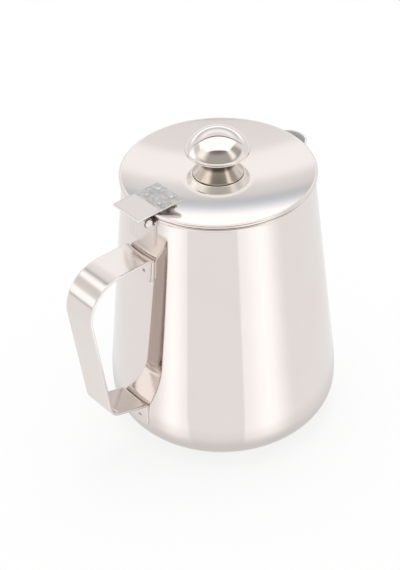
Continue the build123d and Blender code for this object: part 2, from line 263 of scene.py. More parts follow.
class KnobSizes(bpy.types.PropertyGroup):
    """Sizes of the knob."""

    radius: length("Radius", "Radius of the hollow knob", BOXES["knob_dome"][1].y)
    sheet: length("Sheet", "Thickness of the two shells", mm(0.8))
    dome_height: length("Dome height", "Height of the upper shell", mm(10))
    dome_corner: length("Dome corner", "Rim radius of the upper shell", mm(2.6))
    pan_depth: length("Pan depth", "Depth of the lower shell", mm(4.4))
    pan_corner: length("Pan corner", "Rim radius of the lower shell", mm(0.9))
    pan_foot: length("Pan foot", "Radius of the lower shell's flat bottom", mm(8.4))
    pan_hole: length("Pan hole", "Radius of the hole for the spigot", mm(3.55))
    foot_radius: length("Foot radius", "Radius of the stem's foot", BOXES["knob_stem"][1].y)
    foot_edge: length("Foot edge", "Upright edge of the stem's foot above its ring", mm(0.7))
    flare_height: length("Flare height", "Height of the flare from foot to neck", mm(5.1))
    flare_bow: length("Flare bow", "Hollow of the flare", mm(0.05))
    neck_radius: length("Neck radius", "Radius of the neck under the knob", mm(7))
    spigot_radius: length("Spigot radius", "Radius of the spigot in the lower shell", mm(3.4))
    ring_radius: length("Ring radius", "Radius of the seat ring", BOXES["knob_rosette"][1].y)
    ring_top: length("Ring top", "Radius of the seat ring's upper edge", mm(12.6))
    ring_bore: length("Ring bore", "Radius of the seat ring's bore", mm(12.05))
    ring_sheet: length("Ring sheet", "Thickness of the seat ring's ledge", mm(0.9))


class FinishLook(bpy.types.PropertyGroup):
    """Colours and polish of the steel."""

    steel: tint("Polished steel", "Colour of the mirror-polished steel", (0.85, 0.79, 0.76))
    worn: tint("Worn steel", "Colour of the welded and mottled steel", (0.56, 0.545, 0.53))
    warm: tint("Turned steel", "Colour of the turned stem", (0.72, 0.635, 0.56))
    cream: tint("Seat ring", "Colour of the satin seat ring", (0.90, 0.84, 0.78))
    # Colour of the painted shade under the knob, on the stem's throat and foot, on the handle's inner face and round
    # the pin, and of the heat marks in the weld dents
    shaded: tint("Shaded steel", "Colour of steel that is left unpolished", (0.20, 0.165, 0.14))
    lid_roughness: number("Lid roughness", "Roughness of the lid", 0.09)
    satin_roughness: number("Satin roughness", "Roughness of the satin steel", 0.24)
    mirror_roughness: number("Mirror roughness", "Roughness of the polished steel", 0.06)
    strip_roughness: number("Strip roughness", "Roughness of the rolled strip", 0.13)


class StageLook(bpy.types.PropertyGroup):
    """Camera, floor and studio."""

    azimuth: angle("Azimuth", "Bearing that the camera looks along, from the spout's side", 51)
    elevation: angle("Elevation", "Height of the camera above the horizon", 37.33)
    roll: angle("Roll", "Turn of the camera about its own line of sight", -2.06)
    distance: length("Distance", "From the camera to the middle of the jug", mm(770))
    aim_height: length("Aim height", "Height that the camera looks at", mm(68.04))
    aim_left: length("Aim left", "Distance that the camera looks left of the jug's axis", mm(10.15))
    lens: number("Lens", "Focal length in millimetres for the frame's long side", 101.3)
    floor: tint("Floor", "Colour of the pale floor", (0.93, 0.93, 0.93))
    segments: IntProperty(name="Segments", description="Facets round a turned piece", default=240, min=24)


class MilkJug(bpy.types.PropertyGroup):
    """All the sizes and looks of the jug."""

    body: PointerProperty(type=BodySizes)
    spout: PointerProperty(type=SpoutSizes)
    handle: PointerProperty(type=HandleSizes)
    lid: PointerProperty(type=LidSizes)
    knob: PointerProperty(type=KnobSizes)
    finish: PointerProperty(type=FinishLook)
    stage: PointerProperty(type=StageLook)


# Lines and outlines

BEND_ROWS = 6
EDGE_ROWS = 4


def arc(centre, radius, start, end, count):
    """Points along an arc, with the angles in degrees."""
    turns = [math.radians(start + (end - start) * index / count) for index in range(count + 1)]
    return [(centre[0] + radius * math.cos(turn), centre[1] + radius * math.sin(turn)) for turn in turns]


def straight(start, end, count):
    """Evenly spaced points from start to end."""
    return [
        tuple(a + (b - a) * index / count for a, b in zip(start, end))
        for index in range(count + 1)
    ]


def bent_line(corners, radii, step):
    """Dense points and directions along a line of runs whose inner corners are rounded."""
    points = [Vector(corner) for corner in corners]
    line = [points[0]]
    for before, corner, after, radius in zip(points, points[1:], points[2:], radii):
        into = (corner - before).normalized()
        out = (after - corner).normalized()
        turn = into.angle(out)
        tangent = radius * math.tan(turn / 2)
        start = corner - into * tangent
        side = out - into * out.dot(into)
        side.normalize()
        centre = start + side * radius
        count = max(BEND_ROWS, math.ceil(radius * turn / step))
        extend(line, start, step)
        for index in range(1, count + 1):
            share = turn * index / count
            line.append(centre - side * radius * math.cos(share) + into * radius * math.sin(share))
    extend(line, points[-1], step)
    ahead, behind = [*line[1:], line[-1]], [line[0], *line[:-1]]
    return line, [(after - before).normalized() for after, before in zip(ahead, behind)]


def extend(line, end, step):
    """Adds evenly spaced points from the end of a line to a new end."""
    start = line[-1]
    count = max(1, math.ceil((end - start).length / step))
    line.extend(start.lerp(end, index / count) for index in range(1, count + 1))


class JugShape:
    """Places worked out from the sizes in the panel."""

    def __init__(self, jug):
        body = jug.body
        self.jug = jug
        self.base_ring = body.belt_radius - body.corner_radius
        self.recess_radius = self.base_ring - body.ring_width - body.recess_slope
        self.bead_radius = body.mouth_radius - body.wall + body.rim_bead
        self.bead_height = body.height - body.rim_bead
        self.shoulder_centre = body.belt_radius - body.shoulder_radius
        offset = body.mouth_radius - self.shoulder_centre
        rise = body.height - body.belt_top
        self.lean = math.atan2(rise, offset) - math.acos(body.shoulder_radius / math.hypot(offset, rise))
        lid, knob = jug.lid, jug.knob
        self.knob_base = lid.top - lid.dish_depth
        self.dish_edge = lid.radius - lid.lip
        self.hem_edge = lid.radius - lid.hem_width
        self.weld_outer = self.hem_edge - lid.lever_inset
        self.weld_inner = self.weld_outer - lid.lever_weld
        self.post_reaches = (self.weld_inner + lid.post_inset, self.weld_outer - lid.post_inset)
        ring_low, ring_high = (corner.z for corner in BOXES["knob_rosette"])
        self.stem_shoulder = self.knob_base + ring_high - ring_low + knob.foot_edge
        self.stem_neck = self.stem_shoulder + knob.flare_height
        self.seam = BOXES["knob_dome"][0].z - GAP
        self.stem_seat = self.seam - knob.pan_depth - GAP

    def wall_radius(self, height, offset=0.0):
        """Radius of the wall at a height, moved out by an offset."""
        body = self.jug.body
        if height < body.corner_radius:
            drop = body.corner_radius - height
            return self.base_ring + math.sqrt((body.corner_radius + offset) ** 2 - drop ** 2)
        if height < body.belt_top:
            return body.belt_radius + offset
        radius = body.shoulder_radius + offset
        lean_rise = radius * math.sin(self.lean)
        rise = height - body.belt_top
        if rise < lean_rise:
            return self.shoulder_centre + math.sqrt(radius ** 2 - rise ** 2)
        return self.shoulder_centre + radius * math.cos(self.lean) - (rise - lean_rise) * math.tan(self.lean)

    def dish_rise(self):
        """Height of the dish's centre of curvature above the lid's flat middle."""
        depth = self.jug.lid.dish_depth
        return ((self.dish_edge ** 2 - self.jug.lid.dish_flat ** 2) / depth + depth) / 2

    def dish_bow(self):
        """Radius of the round dish."""
        return math.hypot(self.jug.lid.dish_flat, self.dish_rise())

    def dish_height(self, radius):
        """Height of the lid's upper face at a radius outside its flat middle."""
        return self.knob_base + self.dish_rise() - math.sqrt(self.dish_bow() ** 2 - radius ** 2)


# Mesh tools

SHARP_CREASE, TURNED_CREASE, BLUNT_CREASE = 35.0, 40.0, 50.0
MERGE_DISTANCE = 1e-7


def add_to_scene(name, data):
    """New object in the scene."""
    thing = bpy.data.objects.new(name, data)
    bpy.context.scene.collection.objects.link(thing)
    return thing


def make_object(name, vertices, faces, crease=SHARP_CREASE):
    """Smooth-shaded object whose edges stay sharp where its faces turn by more than the crease angle."""
    mesh = bpy.data.meshes.new(name)
    mesh.from_pydata([tuple(v) for v in vertices], [], faces)
    shell = bmesh.new()
    shell.from_mesh(mesh)
    bmesh.ops.remove_doubles(shell, verts=shell.verts, dist=MERGE_DISTANCE)
    bmesh.ops.recalc_face_normals(shell, faces=shell.faces)
    shell.to_mesh(mesh)
    shell.free()
    mesh.shade_smooth()
    mesh.set_sharp_from_angle(angle=math.radians(crease))
    return add_to_scene(name, mesh)


def ring_faces(rows, columns, closed_rows, closed_columns):
    """Quads of a grid of rows and columns that may close on itself both ways."""
    faces = []
    for row in range(rows if closed_rows else rows - 1):
        for column in range(columns if closed_columns else columns - 1):
            below = (row + 1) % rows
            beside = (column + 1) % columns
            faces.append((
                row * columns + column,
                row * columns + beside,
                below * columns + beside,
                below * columns + column,
            ))
    return faces


def on_ring(radius, turn, height):
    """Point at a radius, a turn about the jug's axis and a height."""
    return (radius * math.cos(turn), radius * math.sin(turn), height)


def turn_outline(name, outline, segments, crease=SHARP_CREASE):
    """Solid of revolution from a closed outline of radii and heights."""
    turns = [2 * math.pi * index / segments for index in range(segments)]
    vertices = [on_ring(radius, turn, height) for radius, height in outline for turn in turns]
    return make_object(name, vertices, ring_faces(len(outline), segments, True, True), crease)


def strip_section(half_width, half_height, edge, across):
    """Rounded oblong, as points across the strip and along its thickness."""
    flat = half_width - edge
    rounding = min(edge, half_height)
    lift = half_height - rounding
    top = straight((-flat, half_height), (flat, half_height), across)
    right = [(flat + x, y) for x, y in arc((0, lift), rounding, 90, 0, EDGE_ROWS)[1:]]
    right += [(flat + x, y) for x, y in arc((0, -lift), rounding, 0, -90, EDGE_ROWS)[:-1]]
    bottom = straight((flat, -half_height), (-flat, -half_height), across)
    left = [(-x, -y) for x, y in right]
    return top + right + bottom + left


def sweep_strip(name, line, directions, section_at, place, crease=SHARP_CREASE):
    """Strip along a line in the jug's mid-plane. Each section is closed, and the two ends are capped."""
    vertices = []
    for index, (point, direction) in enumerate(zip(line, directions)):
        normal = Vector((-direction.y, direction.x))
        section = section_at(index)
        for across, along in section:
            spot = point + normal * along
            vertices.append(place(index, spot, across, along))
    columns = len(section)
    rows = len(line)
    faces = ring_faces(rows, columns, False, True)
    faces.append(tuple(range(columns)))
    faces.append(tuple((rows - 1) * columns + column for column in reversed(range(columns))))
    return make_object(name, vertices, faces, crease)


def coat(thing, material):
    """Gives a piece its finish."""
    thing.data.materials.clear()
    thing.data.materials.append(material)


def dress(thing, body, material, slot, *nodes):
    """Gives a piece its finish, sets it on its body and lets it stand for its CAD nodes."""
    coat(thing, material)
    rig.ride(thing, body)
    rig.slot(thing, slot)
    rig.replaces(thing, *nodes)


# Shader tools

MIX_FACTOR, MIX_FIRST, MIX_SECOND, MIX_COLOUR = 0, 6, 7, 2
RELIEF_DEPTH = mm(0.1)


def both_sides(operation):
    """Methods for one of Python's operators, with the value on its left and on its right."""
    return (
        lambda self, other: self.math(operation, self, other),
        lambda self, other: self.math(operation, other, self),
    )


class Value:
    """Number on a node's socket. Python's operators add the Math nodes."""

    __add__, __radd__ = both_sides("ADD")
    __sub__, __rsub__ = both_sides("SUBTRACT")
    __mul__, __rmul__ = both_sides("MULTIPLY")
    __truediv__, __rtruediv__ = both_sides("DIVIDE")
    __pow__, __rpow__ = both_sides("POWER")

    def __init__(self, tree, socket):
        self.tree = tree
        self.socket = socket

    def __abs__(self):
        return self.math("ABSOLUTE", self)

    def __round__(self):
        return self.math("ROUND", self)

    def math(self, operation, *values):
        """Math node on one or two values."""
        node = self.tree.nodes.new("ShaderNodeMath")
        node.operation = operation
        for socket, value in zip(node.inputs, values):
            plug(self.tree, socket, value)
        return Value(self.tree, node.outputs[0])

    def over(self, limit):
        """1 where the value is greater than a limit."""
        return self.math("GREATER_THAN", self, limit)

    def capped(self, limit):
        """The smaller of the value and a limit."""
        return self.math("MINIMUM", self, limit)


def plug(tree, socket, value):
    """Sets a socket to a number or a colour, or links it."""
    if isinstance(value, Value):
        tree.links.new(value.socket, socket)
    else:
        socket.default_value = value


class Finish:
    """Node tree of a material or of the studio's surroundings."""

    def __init__(self, tree):
        self.tree = tree
        tree.nodes.clear()

    def node(self, kind, settings=None, inputs=None, output=0):
        """Adds a node with its settings and its sockets' values or links, and gives one output."""
        node = self.tree.nodes.new(kind)
        for key, value in (settings or {}).items():
            if key == "stops":
                self.set_stops(node.color_ramp, value)
            else:
                setattr(node, key, value)
        for key, value in (inputs or {}).items():
            plug(self.tree, node.inputs[key], value)
        return Value(self.tree, node.outputs[output]) if node.outputs else None

    @staticmethod
    def set_stops(ramp, stops):
        """Sets a colour ramp's stops, each a place and a grey level or a colour."""
        while len(ramp.elements) < len(stops):
            ramp.elements.new(1.0)
        for element, (place, level) in zip(ramp.elements, stops):
            element.position = place
            element.color = (*level, 1) if isinstance(level, tuple) else (level, level, level, 1)

    def noise(self, scale, detail, stretch=(1, 1, 1)):
        """Soft noise from 0 to 1, stretched along the object's own axes."""
        spot = self.node("ShaderNodeTexCoord", output="Object")
        place = self.node("ShaderNodeMapping", inputs={"Vector": spot, "Scale": stretch})
        return self.node(
            "ShaderNodeTexNoise",
            inputs={"Vector": place, "Scale": scale, "Detail": detail},
            output="Fac",
        )

    def ramp(self, value, stops):
        """Colour ramp on a value."""
        return self.node("ShaderNodeValToRGB", {"stops": stops}, {"Fac": value}, "Color")

    def step(self, value, low, high):
        """0 below the low value, 1 above the high value and smooth between them."""
        return self.node(
            "ShaderNodeMapRange",
            {"interpolation_type": "SMOOTHSTEP"},
            {"Value": value, "From Min": low, "From Max": high},
        )

    def band(self, value, rise, fall):
        """1 from a rise to a fall, each given by its low and its high end, and 0 outside them."""
        return self.step(value, *rise) * (1 - self.step(value, *fall))

    def split(self, vector, axis):
        """One part of a vector."""
        return self.node("ShaderNodeSeparateXYZ", inputs={"Vector": vector}, output=axis)

    def part(self, axis, coordinate="Object"):
        """One part of the place or the normal in the object's own frame."""
        return self.split(self.node("ShaderNodeTexCoord", output=coordinate), axis)

    def mix(self, factor, first, second):
        """Colour between two colours."""
        return self.node(
            "ShaderNodeMix",
            {"data_type": "RGBA"},
            {MIX_FACTOR: factor, MIX_FIRST: first, MIX_SECOND: second},
            MIX_COLOUR,
        )

    def steel(self, colour, metal, rough, relief, strength=0.15):
        """Ends the tree in steel with a fine relief."""
        bump = self.node(
            "ShaderNodeBump",
            inputs={"Strength": strength, "Distance": RELIEF_DEPTH, "Height": relief},
            output="Normal",
        )
        shader = self.node(
            "ShaderNodeBsdfPrincipled",
            inputs={"Base Color": colour, "Metallic": metal, "Roughness": rough, "Normal": bump},
        )
        self.node("ShaderNodeOutputMaterial", inputs={"Surface": shader})


# Finishes of the steel

CLOUDED = 0.95
PLAIN_ROUGH, CLOUD_ROUGH, LINE_ROUGH = 0.8, 0.5, 0.3
LINE_RELIEF = 0.02
INSIDE_WALL = (mm(-20), mm(-8))
INSIDE_FLOOR = (mm(40), mm(60))
INSIDE_MATT, INSIDE_ROUGH = 0.35, 0.17
# Near-white colour painted inside the beak as a painted reflection
INSIDE_PAINTED_REFLECTION = (0.97, 0.96, 0.95)
PRESSED_MATT, PRESSED_ROUGH, PRESSED_CLOUD = 0.95, 0.4, 0.04
WELD_START = (mm(-42.2), mm(-41))
WELD_DARK, WELD_PALE = 0.86, 1.12
WELD_ROUGH, BLOTCH_ROUGH, SCRATCH_RELIEF = 0.06, 0.1, 0.05
THUMB_LEVEL = 0.82
# Near-white colour painted on the lever's upright edges as a painted highlight
PAINTED_EDGE_HIGHLIGHT = (0.95, 0.93, 0.91)
CUT_MATT, CUT_ROUGH, UNDER_ROUGH = 0.7, 0.2, 0.4
SPUN_GRAIN = (500.0, (1, 1, 0.05))
TURNED_GRAIN = (900.0, (0.02, 0.02, 1))
STRIP_GRAIN = (900.0, (0.05, 1, 0.05))
PIN_GRAIN = (900.0, (1, 0.05, 1))


def paint(colour, level=1.0):
    """Opaque colour, made darker or lighter by a level."""
    return (*[channel * level for channel in colour], 1)


def new_finish(name):
    """New material, and its empty node tree."""
    material = bpy.data.materials.new(name)
    material.use_nodes = True
    return material, Finish(material.node_tree)


def polish(finish, colour, roughness, grain):
    """Colour, roughness and relief of steel with faint clouds, fine polishing lines and slow waves."""
    scale, stretch = grain
    cloud = finish.noise(scale=45.0, detail=3.0)
    lines = finish.noise(scale, detail=2.0, stretch=stretch)
    waves = finish.noise(scale=60.0, detail=1.0)
    base = finish.mix(cloud, paint(colour, CLOUDED), paint(colour))
    rough = roughness * (PLAIN_ROUGH + cloud * CLOUD_ROUGH + lines * LINE_ROUGH)
    return base, rough, waves + lines * LINE_RELIEF


def steel_material(name, colour, roughness, grain, shade=None, shaded=None, metal=1.0):
    """Polished steel, with a shaded place where a shade is given."""
    material, finish = new_finish(name)
    base, rough, relief = polish(finish, colour, roughness, grain)
    if shade:
        base = finish.mix(shade(finish), base, paint(shaded))
    finish.steel(base, metal, rough, relief)
    return material


def body_material(look):
    """Steel that is polished outside and left satin by the drawing tool inside."""
    material, finish = new_finish("body_steel")
    base, rough, relief = polish(finish, look.steel, look.mirror_roughness, TURNED_GRAIN)
    outward = finish.part("X", "Normal") * finish.part("X") + finish.part("Y", "Normal") * finish.part("Y")
    wall = 1 - finish.step(outward, *INSIDE_WALL)
    level = finish.step(finish.part("Z", "Normal"), 0.3, 0.5)
    floor = level * (1 - finish.step(finish.part("Z"), *INSIDE_FLOOR))
    inside = (wall + floor).capped(1)
    finish.steel(base, 1 - inside * INSIDE_MATT, rough + inside * INSIDE_ROUGH, relief)
    return material


def beak_material(look):
    """Steel that is polished outside and left matt by the press inside, where it is painted near white as a painted
    reflection of the bright surroundings.
    """
    material, finish = new_finish("beak_steel")
    inside = 1 - finish.step(finish.part("X", "Normal"), -0.1, 0.15)
    cloud = finish.noise(scale=90.0, detail=3.0)
    base = finish.mix(cloud, paint(look.steel, CLOUDED), paint(look.steel))
    # Painted reflection: the inside of the beak is made near white
    base = finish.mix(inside, base, paint(INSIDE_PAINTED_REFLECTION))
    rough = look.mirror_roughness + inside * PRESSED_ROUGH + cloud * PRESSED_CLOUD
    finish.steel(base, 1 - inside * PRESSED_MATT, rough, cloud, strength=0.1)
    return material


def lever_material(look):
    """Steel that is smooth on the thumb rest, mottled grey where it was welded, and painted pale on its cut edges as a
    painted highlight.
    """
    material, finish = new_finish("lever_steel")
    upward = finish.part("Z", "Normal")
    face = finish.step(upward, 0.5, 0.7)
    under = 1 - finish.step(upward, -0.7, -0.5)
    edge = 1 - under - face
    welded = finish.step(finish.part("X"), *WELD_START) * face
    blotches = finish.step(finish.noise(scale=520.0, detail=3.0), 0.35, 0.65)
    scratches = finish.noise(scale=900.0, detail=2.0, stretch=(1, 0.15, 1))
    worn = finish.mix(blotches, paint(look.worn, WELD_DARK), paint(look.worn, WELD_PALE))
    base = finish.mix(welded, paint(look.steel, THUMB_LEVEL), worn)
    # Painted highlight: the upright edges, posts and knuckle sides are made near white
    base = finish.mix(edge, base, paint(PAINTED_EDGE_HIGHLIGHT))
    mottle = welded * blotches
    rough = look.strip_roughness + welded * WELD_ROUGH + mottle * BLOTCH_ROUGH
    rough = rough + under * UNDER_ROUGH + edge * CUT_ROUGH
    relief = mottle + scratches * SCRATCH_RELIEF
    finish.steel(base, 1 - (under + edge) * CUT_MATT, rough, relief, strength=0.25)
    return material


# Jug body

MOUTH_ROWS = 44
SHOULDER_ROWS = 30
CORNER_ROWS = 20
BELT_ROWS = 4
BASE_ROWS = 6
BASE_EASE = mm(0.12)
BASE_INSET = mm(1)
SLOPE_FOOT, SLOPE_RUN = mm(0.6), mm(0.4)
BEAD_TURN = (-80, 180)
BEAD_ROWS = 18


def wall_rows(shape, offset, top):
    """Points up the wall from the base ring to a height, moved out by an offset."""
    body = shape.jug.body
    corner = arc((shape.base_ring, body.corner_radius), body.corner_radius + offset, -90, 0, CORNER_ROWS)
    belt_edge = body.belt_radius + offset
    belt = straight((belt_edge, body.corner_radius), (belt_edge, body.belt_top), BELT_ROWS)
    lean = math.degrees(shape.lean)
    centre = (shape.shoulder_centre, body.belt_top)
    shoulder = arc(centre, body.shoulder_radius + offset, 0, lean, SHOULDER_ROWS)
    neck = straight(shoulder[-1], (shape.wall_radius(top, offset), top), MOUTH_ROWS)
    return corner + belt[1:] + shoulder[1:] + neck[1:]


def base_rows(shape, level, offset):
    """Points of the pressed-up base from the axis out to the ring."""
    body = shape.jug.body
    recess = level + body.recess_depth
    inner = shape.recess_radius
    slope = inner + body.recess_slope
    return [
        *straight((AXIS, recess), (inner - BASE_INSET, recess), BASE_ROWS),
        (inner, recess - BASE_EASE),
        (slope - SLOPE_FOOT, level + BASE_EASE),
        (slope + SLOPE_RUN, level),
        (shape.base_ring - BASE_INSET, -offset),
    ]


def mouth_half_angle(shape, radius, height):
    """Half the angle that the mouth of the spout cuts out of the neck at a height."""
    spout = shape.jug.spout
    top = shape.jug.body.height - spout.drop
    share = min(max((top - height) / spout.height, 0), 1)
    shrink = spout.wall + spout.land
    stand = spout.reach * (1 - share) ** spout.bend - shrink
    if stand <= 0:
        return 0.0
    half = spout.tip_half_width * (1 - share) + spout.toe_half_width * share - shrink / 2
    if stand > spout.nose:
        half += (stand - spout.nose) * spout.flare
    else:
        half *= math.sqrt(stand / spout.nose)
    return math.asin(max(half, 0) / radius)


def build_body(shape):
    """Drawn shell whose seam opens into the mouth of the spout."""
    body = shape.jug.body
    segments = shape.jug.stage.segments
    bead = arc((shape.bead_radius, shape.bead_height), body.rim_bead, *BEAD_TURN, BEAD_ROWS)
    outer = base_rows(shape, 0, 0) + wall_rows(shape, 0, bead[0][1])[:-1]
    inner = base_rows(shape, body.wall, -body.wall) + wall_rows(shape, -body.wall, bead[-1][1])[:-1]
    outline = outer + bead + inner[::-1]
    vertices = []
    for radius, height in outline:
        gap = mouth_half_angle(shape, radius, height)
        for index in range(segments + 1):
            vertices.append(on_ring(radius, gap + (2 * math.pi - 2 * gap) * index / segments, height))
    columns = segments + 1
    rows = len(outline)
    faces = ring_faces(rows, columns, True, False)
    first = next(i for i, (r, h) in enumerate(outline) if mouth_half_angle(shape, r, h) > 0) - 1
    for low in range(first, rows // 2):
        high = rows - 1 - low
        for edge in (0, segments):
            faces.append((
                low * columns + edge,
                (low + 1) * columns + edge,
                (high - 1) * columns + edge,
                high * columns + edge,
            ))
    return make_object("body_shell", vertices, faces, BLUNT_CREASE)


# Spout

SPOUT_ROWS = 40
SPOUT_POINTS = 22
SEARCH_MARGIN = mm(12)
SEARCH_STEPS = 40
TOE_MARGIN = mm(0.02)
TOE_EDGE = mm(0.03)
LIP_ROWS = ((0.15, 0.3), (0.5, 0.45), (0.85, 0.3))


def beak_half(shape, share, shrink):
    """Half of a level section of the beak, from its nose to where it meets the wall, as points."""
    spout = shape.jug.spout
    height = shape.jug.body.height - spout.drop - share * spout.height
    wall = shape.wall_radius(height)
    tip = wall + spout.reach * max(1 - share, 0) ** spout.bend - shrink
    half = spout.tip_half_width * (1 - share) + spout.toe_half_width * share - shrink / 2
    nose_radius = (half ** 2 + spout.nose ** 2) / (2 * spout.nose)
    nose_angle = math.atan2(half, nose_radius - spout.nose)
    nose_length = nose_radius * nose_angle

    def along(run):
        if run < nose_length:
            turn = run / nose_radius
            return (tip - nose_radius + nose_radius * math.cos(turn), nose_radius * math.sin(turn))
        rest = (run - nose_length) / math.hypot(1, spout.flare)
        return (tip - spout.nose - rest, half + rest * spout.flare)

    low, high = 0.0, nose_length + spout.reach + SEARCH_MARGIN
    for _ in range(SEARCH_STEPS):
        middle = (low + high) / 2
        if math.hypot(*along(middle)) > wall:
            low = middle
        else:
            high = middle
    return [(*along(low * index / SPOUT_POINTS), height) for index in range(SPOUT_POINTS + 1)]


def build_spout(shape):
    """Pressed beak with a rounded lip, as a closed shell."""
    spout = shape.jug.spout

    def row(share, shrink, lift=0.0):
        half = [(x, y, z + lift) for x, y, z in beak_half(shape, share, shrink)]
        return [(x, -y, z) for x, y, z in half[:0:-1]] + half

    def toe(shrink):
        return 1 - ((shrink + TOE_MARGIN) / spout.reach) ** (1 / spout.bend)

    outer_toe, inner_toe = toe(TOE_EDGE), toe(spout.wall)
    outer = [row(outer_toe * (1 - index / SPOUT_ROWS), 0) for index in range(SPOUT_ROWS + 1)]
    lip = [row(0, spout.wall * share, spout.wall * rise) for share, rise in LIP_ROWS]
    inner = [row(inner_toe * index / SPOUT_ROWS, spout.wall) for index in range(SPOUT_ROWS + 1)]
    rows = outer + lip + inner
    columns = len(rows[0])
    vertices = [point for points in rows for point in points]
    faces = ring_faces(len(rows), columns, True, False)
    for edge in (0, columns - 1):
        faces.append(tuple(index * columns + edge for index in range(len(rows))))
    return make_object("beak", vertices, faces, BLUNT_CREASE)


# Handle

STRIP_STEP = mm(0.5)
STRIP_ACROSS = 40
END_RUN = mm(0.02)
END_THICKNESS = 0.55
FOOT_RISE = mm(0.7)


def end_section(run, half_width, corner, half_height, edge):
    """Section of a strip at a run from its nearer end, where its corners and its edge are rounded."""
    width = half_width
    if run < corner:
        short = corner - max(run, END_RUN)
        width = half_width - corner + math.sqrt(corner ** 2 - short ** 2)
    height = half_height * min(1, END_THICKNESS + run / edge * (1 - END_THICKNESS))
    return strip_section(width, height, edge, STRIP_ACROSS)


def runs_along(line):
    """Length of a line up to each of its points."""
    runs = [0.0]
    for before, after in zip(line, line[1:]):
        runs.append(runs[-1] + (after - before).length)
    return runs


def dent(distance, radius, depth):
    """Depth of a round dent at a distance from its middle."""
    share = min(distance / radius, 1)
    return depth * (1 - share ** 2) ** 2


def build_handle(shape):
    """Bent strip whose folded ends lie round the wall as pads with two weld dents each."""
    body = shape.jug.body
    strip = shape.jug.handle
    half = strip.thickness / 2
    seat = GAP + half
    top = body.height - strip.top_drop
    top_end = top - strip.pad_length
    foot_reach = shape.wall_radius(strip.foot_height) + seat
    corners = [
        (-shape.wall_radius(top_end) - seat, top_end),
        (-shape.wall_radius(top) - seat, top),
        (-body.belt_radius - strip.top_standoff, top),
        (-body.belt_radius - strip.toe_standoff, strip.foot_height + strip.toe_rise),
        (-foot_reach, strip.foot_height + FOOT_RISE),
        (-foot_reach, strip.foot_height - strip.pad_length),
    ]
    radii = [strip.pad_bend, strip.top_bend, strip.toe_bend, strip.pad_bend]
    line, directions = bent_line(corners, radii, STRIP_STEP)
    runs = runs_along(line)
    total = runs[-1]
    fold = strip.pad_length + strip.pad_bend

    def section_at(index):
        run = min(runs[index], total - runs[index])
        return end_section(run, strip.width / 2, strip.pad_corner, half, strip.edge)

    def place(index, spot, across, along):
        run = min(runs[index], total - runs[index])
        wrap = min(max((fold - run) / strip.pad_bend, 0), 1)
        reach = -spot.x
        bow = reach - math.sqrt(reach ** 2 - across ** 2)
        x = spot.x + bow * wrap
        upper = runs[index] < total / 2
        if run < fold and (along > 0) == upper:
            level = (top if upper else strip.foot_height) - strip.dot_level
            distance = math.hypot(abs(across) - strip.dot_pitch / 2, spot.y - level)
            x += dent(distance, strip.dot_radius, strip.dot_depth)
        return (x, across, spot.y)

    return sweep_strip("handle_strip", line, directions, section_at, place)


# Lid and lever

HEM_ROUNDING = mm(0.4)
HEM_EASE = mm(0.2)
LINING_INSET = mm(0.6)
LEVER_EDGE = mm(0.3)
MOTTLE_FADE = mm(1)
MOTTLE_SINK = 0.6
POST_ROWS = 12
POST_SEGMENTS = 48
POST_BITE = mm(0.2)
POST_FILLET = mm(0.9)
FILLET_BEND = 2.2
KNUCKLE_SHEET = mm(1)
KNUCKLE_EDGE = mm(0.2)
KNUCKLE_BITE = mm(0.3)
KNUCKLE_TURN = (180, 500)


def build_lid(shape):
    """Dished lid with a hemmed edge."""
    lid = shape.jug.lid
    bow = shape.dish_bow()
    centre = (0, shape.knob_base + shape.dish_rise())

    def slant(radius, curve):
        return math.degrees(math.asin(radius / curve)) - 90

    start = slant(lid.dish_flat, bow)
    lining = slant(shape.hem_edge - LINING_INSET, bow + lid.sheet)
    half = lid.hem_height / 2
    low = lid.top - lid.hem_height
    hem = shape.hem_edge + HEM_ROUNDING
    outline = [
        *straight((lid.screw_hole, shape.knob_base), (lid.dish_flat, shape.knob_base), count=8)[:-1],
        *arc(centre, bow, start, slant(shape.dish_edge, bow), count=48)[:-1],
        *arc((lid.radius - half, lid.top - half), half, start=100, end=-90, count=16),
        *straight((lid.radius - half - HEM_EASE, low), (hem, low), count=3),
        *arc((hem, low + HEM_ROUNDING), HEM_ROUNDING, start=250, end=190, count=4),
        *arc(centre, bow + lid.sheet, lining, start, count=36),
        (lid.screw_hole, shape.knob_base - lid.sheet),
    ]
    return turn_outline("lid_dish", outline, shape.jug.stage.segments)


def build_lever(shape):
    """Level strip with four weld dents and a thumb rest."""
    lid = shape.jug.lid
    half = lid.lever_thickness / 2
    thumb_end = -HINGE.x + lid.thumb_overhang
    level = lid.top + lid.lever_seat + half
    line, directions = bent_line([(-shape.weld_inner, level), (-thumb_end, level)], [], STRIP_STEP / 2)
    runs = runs_along(line)

    def section_at(index):
        run = min(runs[index], runs[-1] - runs[index])
        return end_section(run, lid.lever_width / 2, lid.lever_corner, half, LEVER_EDGE)

    def place(index, spot, across, along):
        height = spot.y
        if height > level:
            side = abs(across) - lid.post_pitch / 2
            distance = min(math.hypot(side, -spot.x - reach) for reach in shape.post_reaches)
            height -= dent(distance, lid.post_radius, lid.dent_depth)
            rim = min(runs[index], lid.lever_width / 2 - abs(across))
            inside = min(max((shape.weld_outer + spot.x) / MOTTLE_FADE, 0), 1) * min(rim / MOTTLE_FADE, 1)
            mark = noise.noise(Vector((spot.x, across, 0)) / lid.mottle_size)
            height -= inside * lid.mottle_depth * (MOTTLE_SINK + mark)
        return (spot.x, across, height)

    return sweep_strip("lever_plate", line, directions, section_at, place, BLUNT_CREASE)


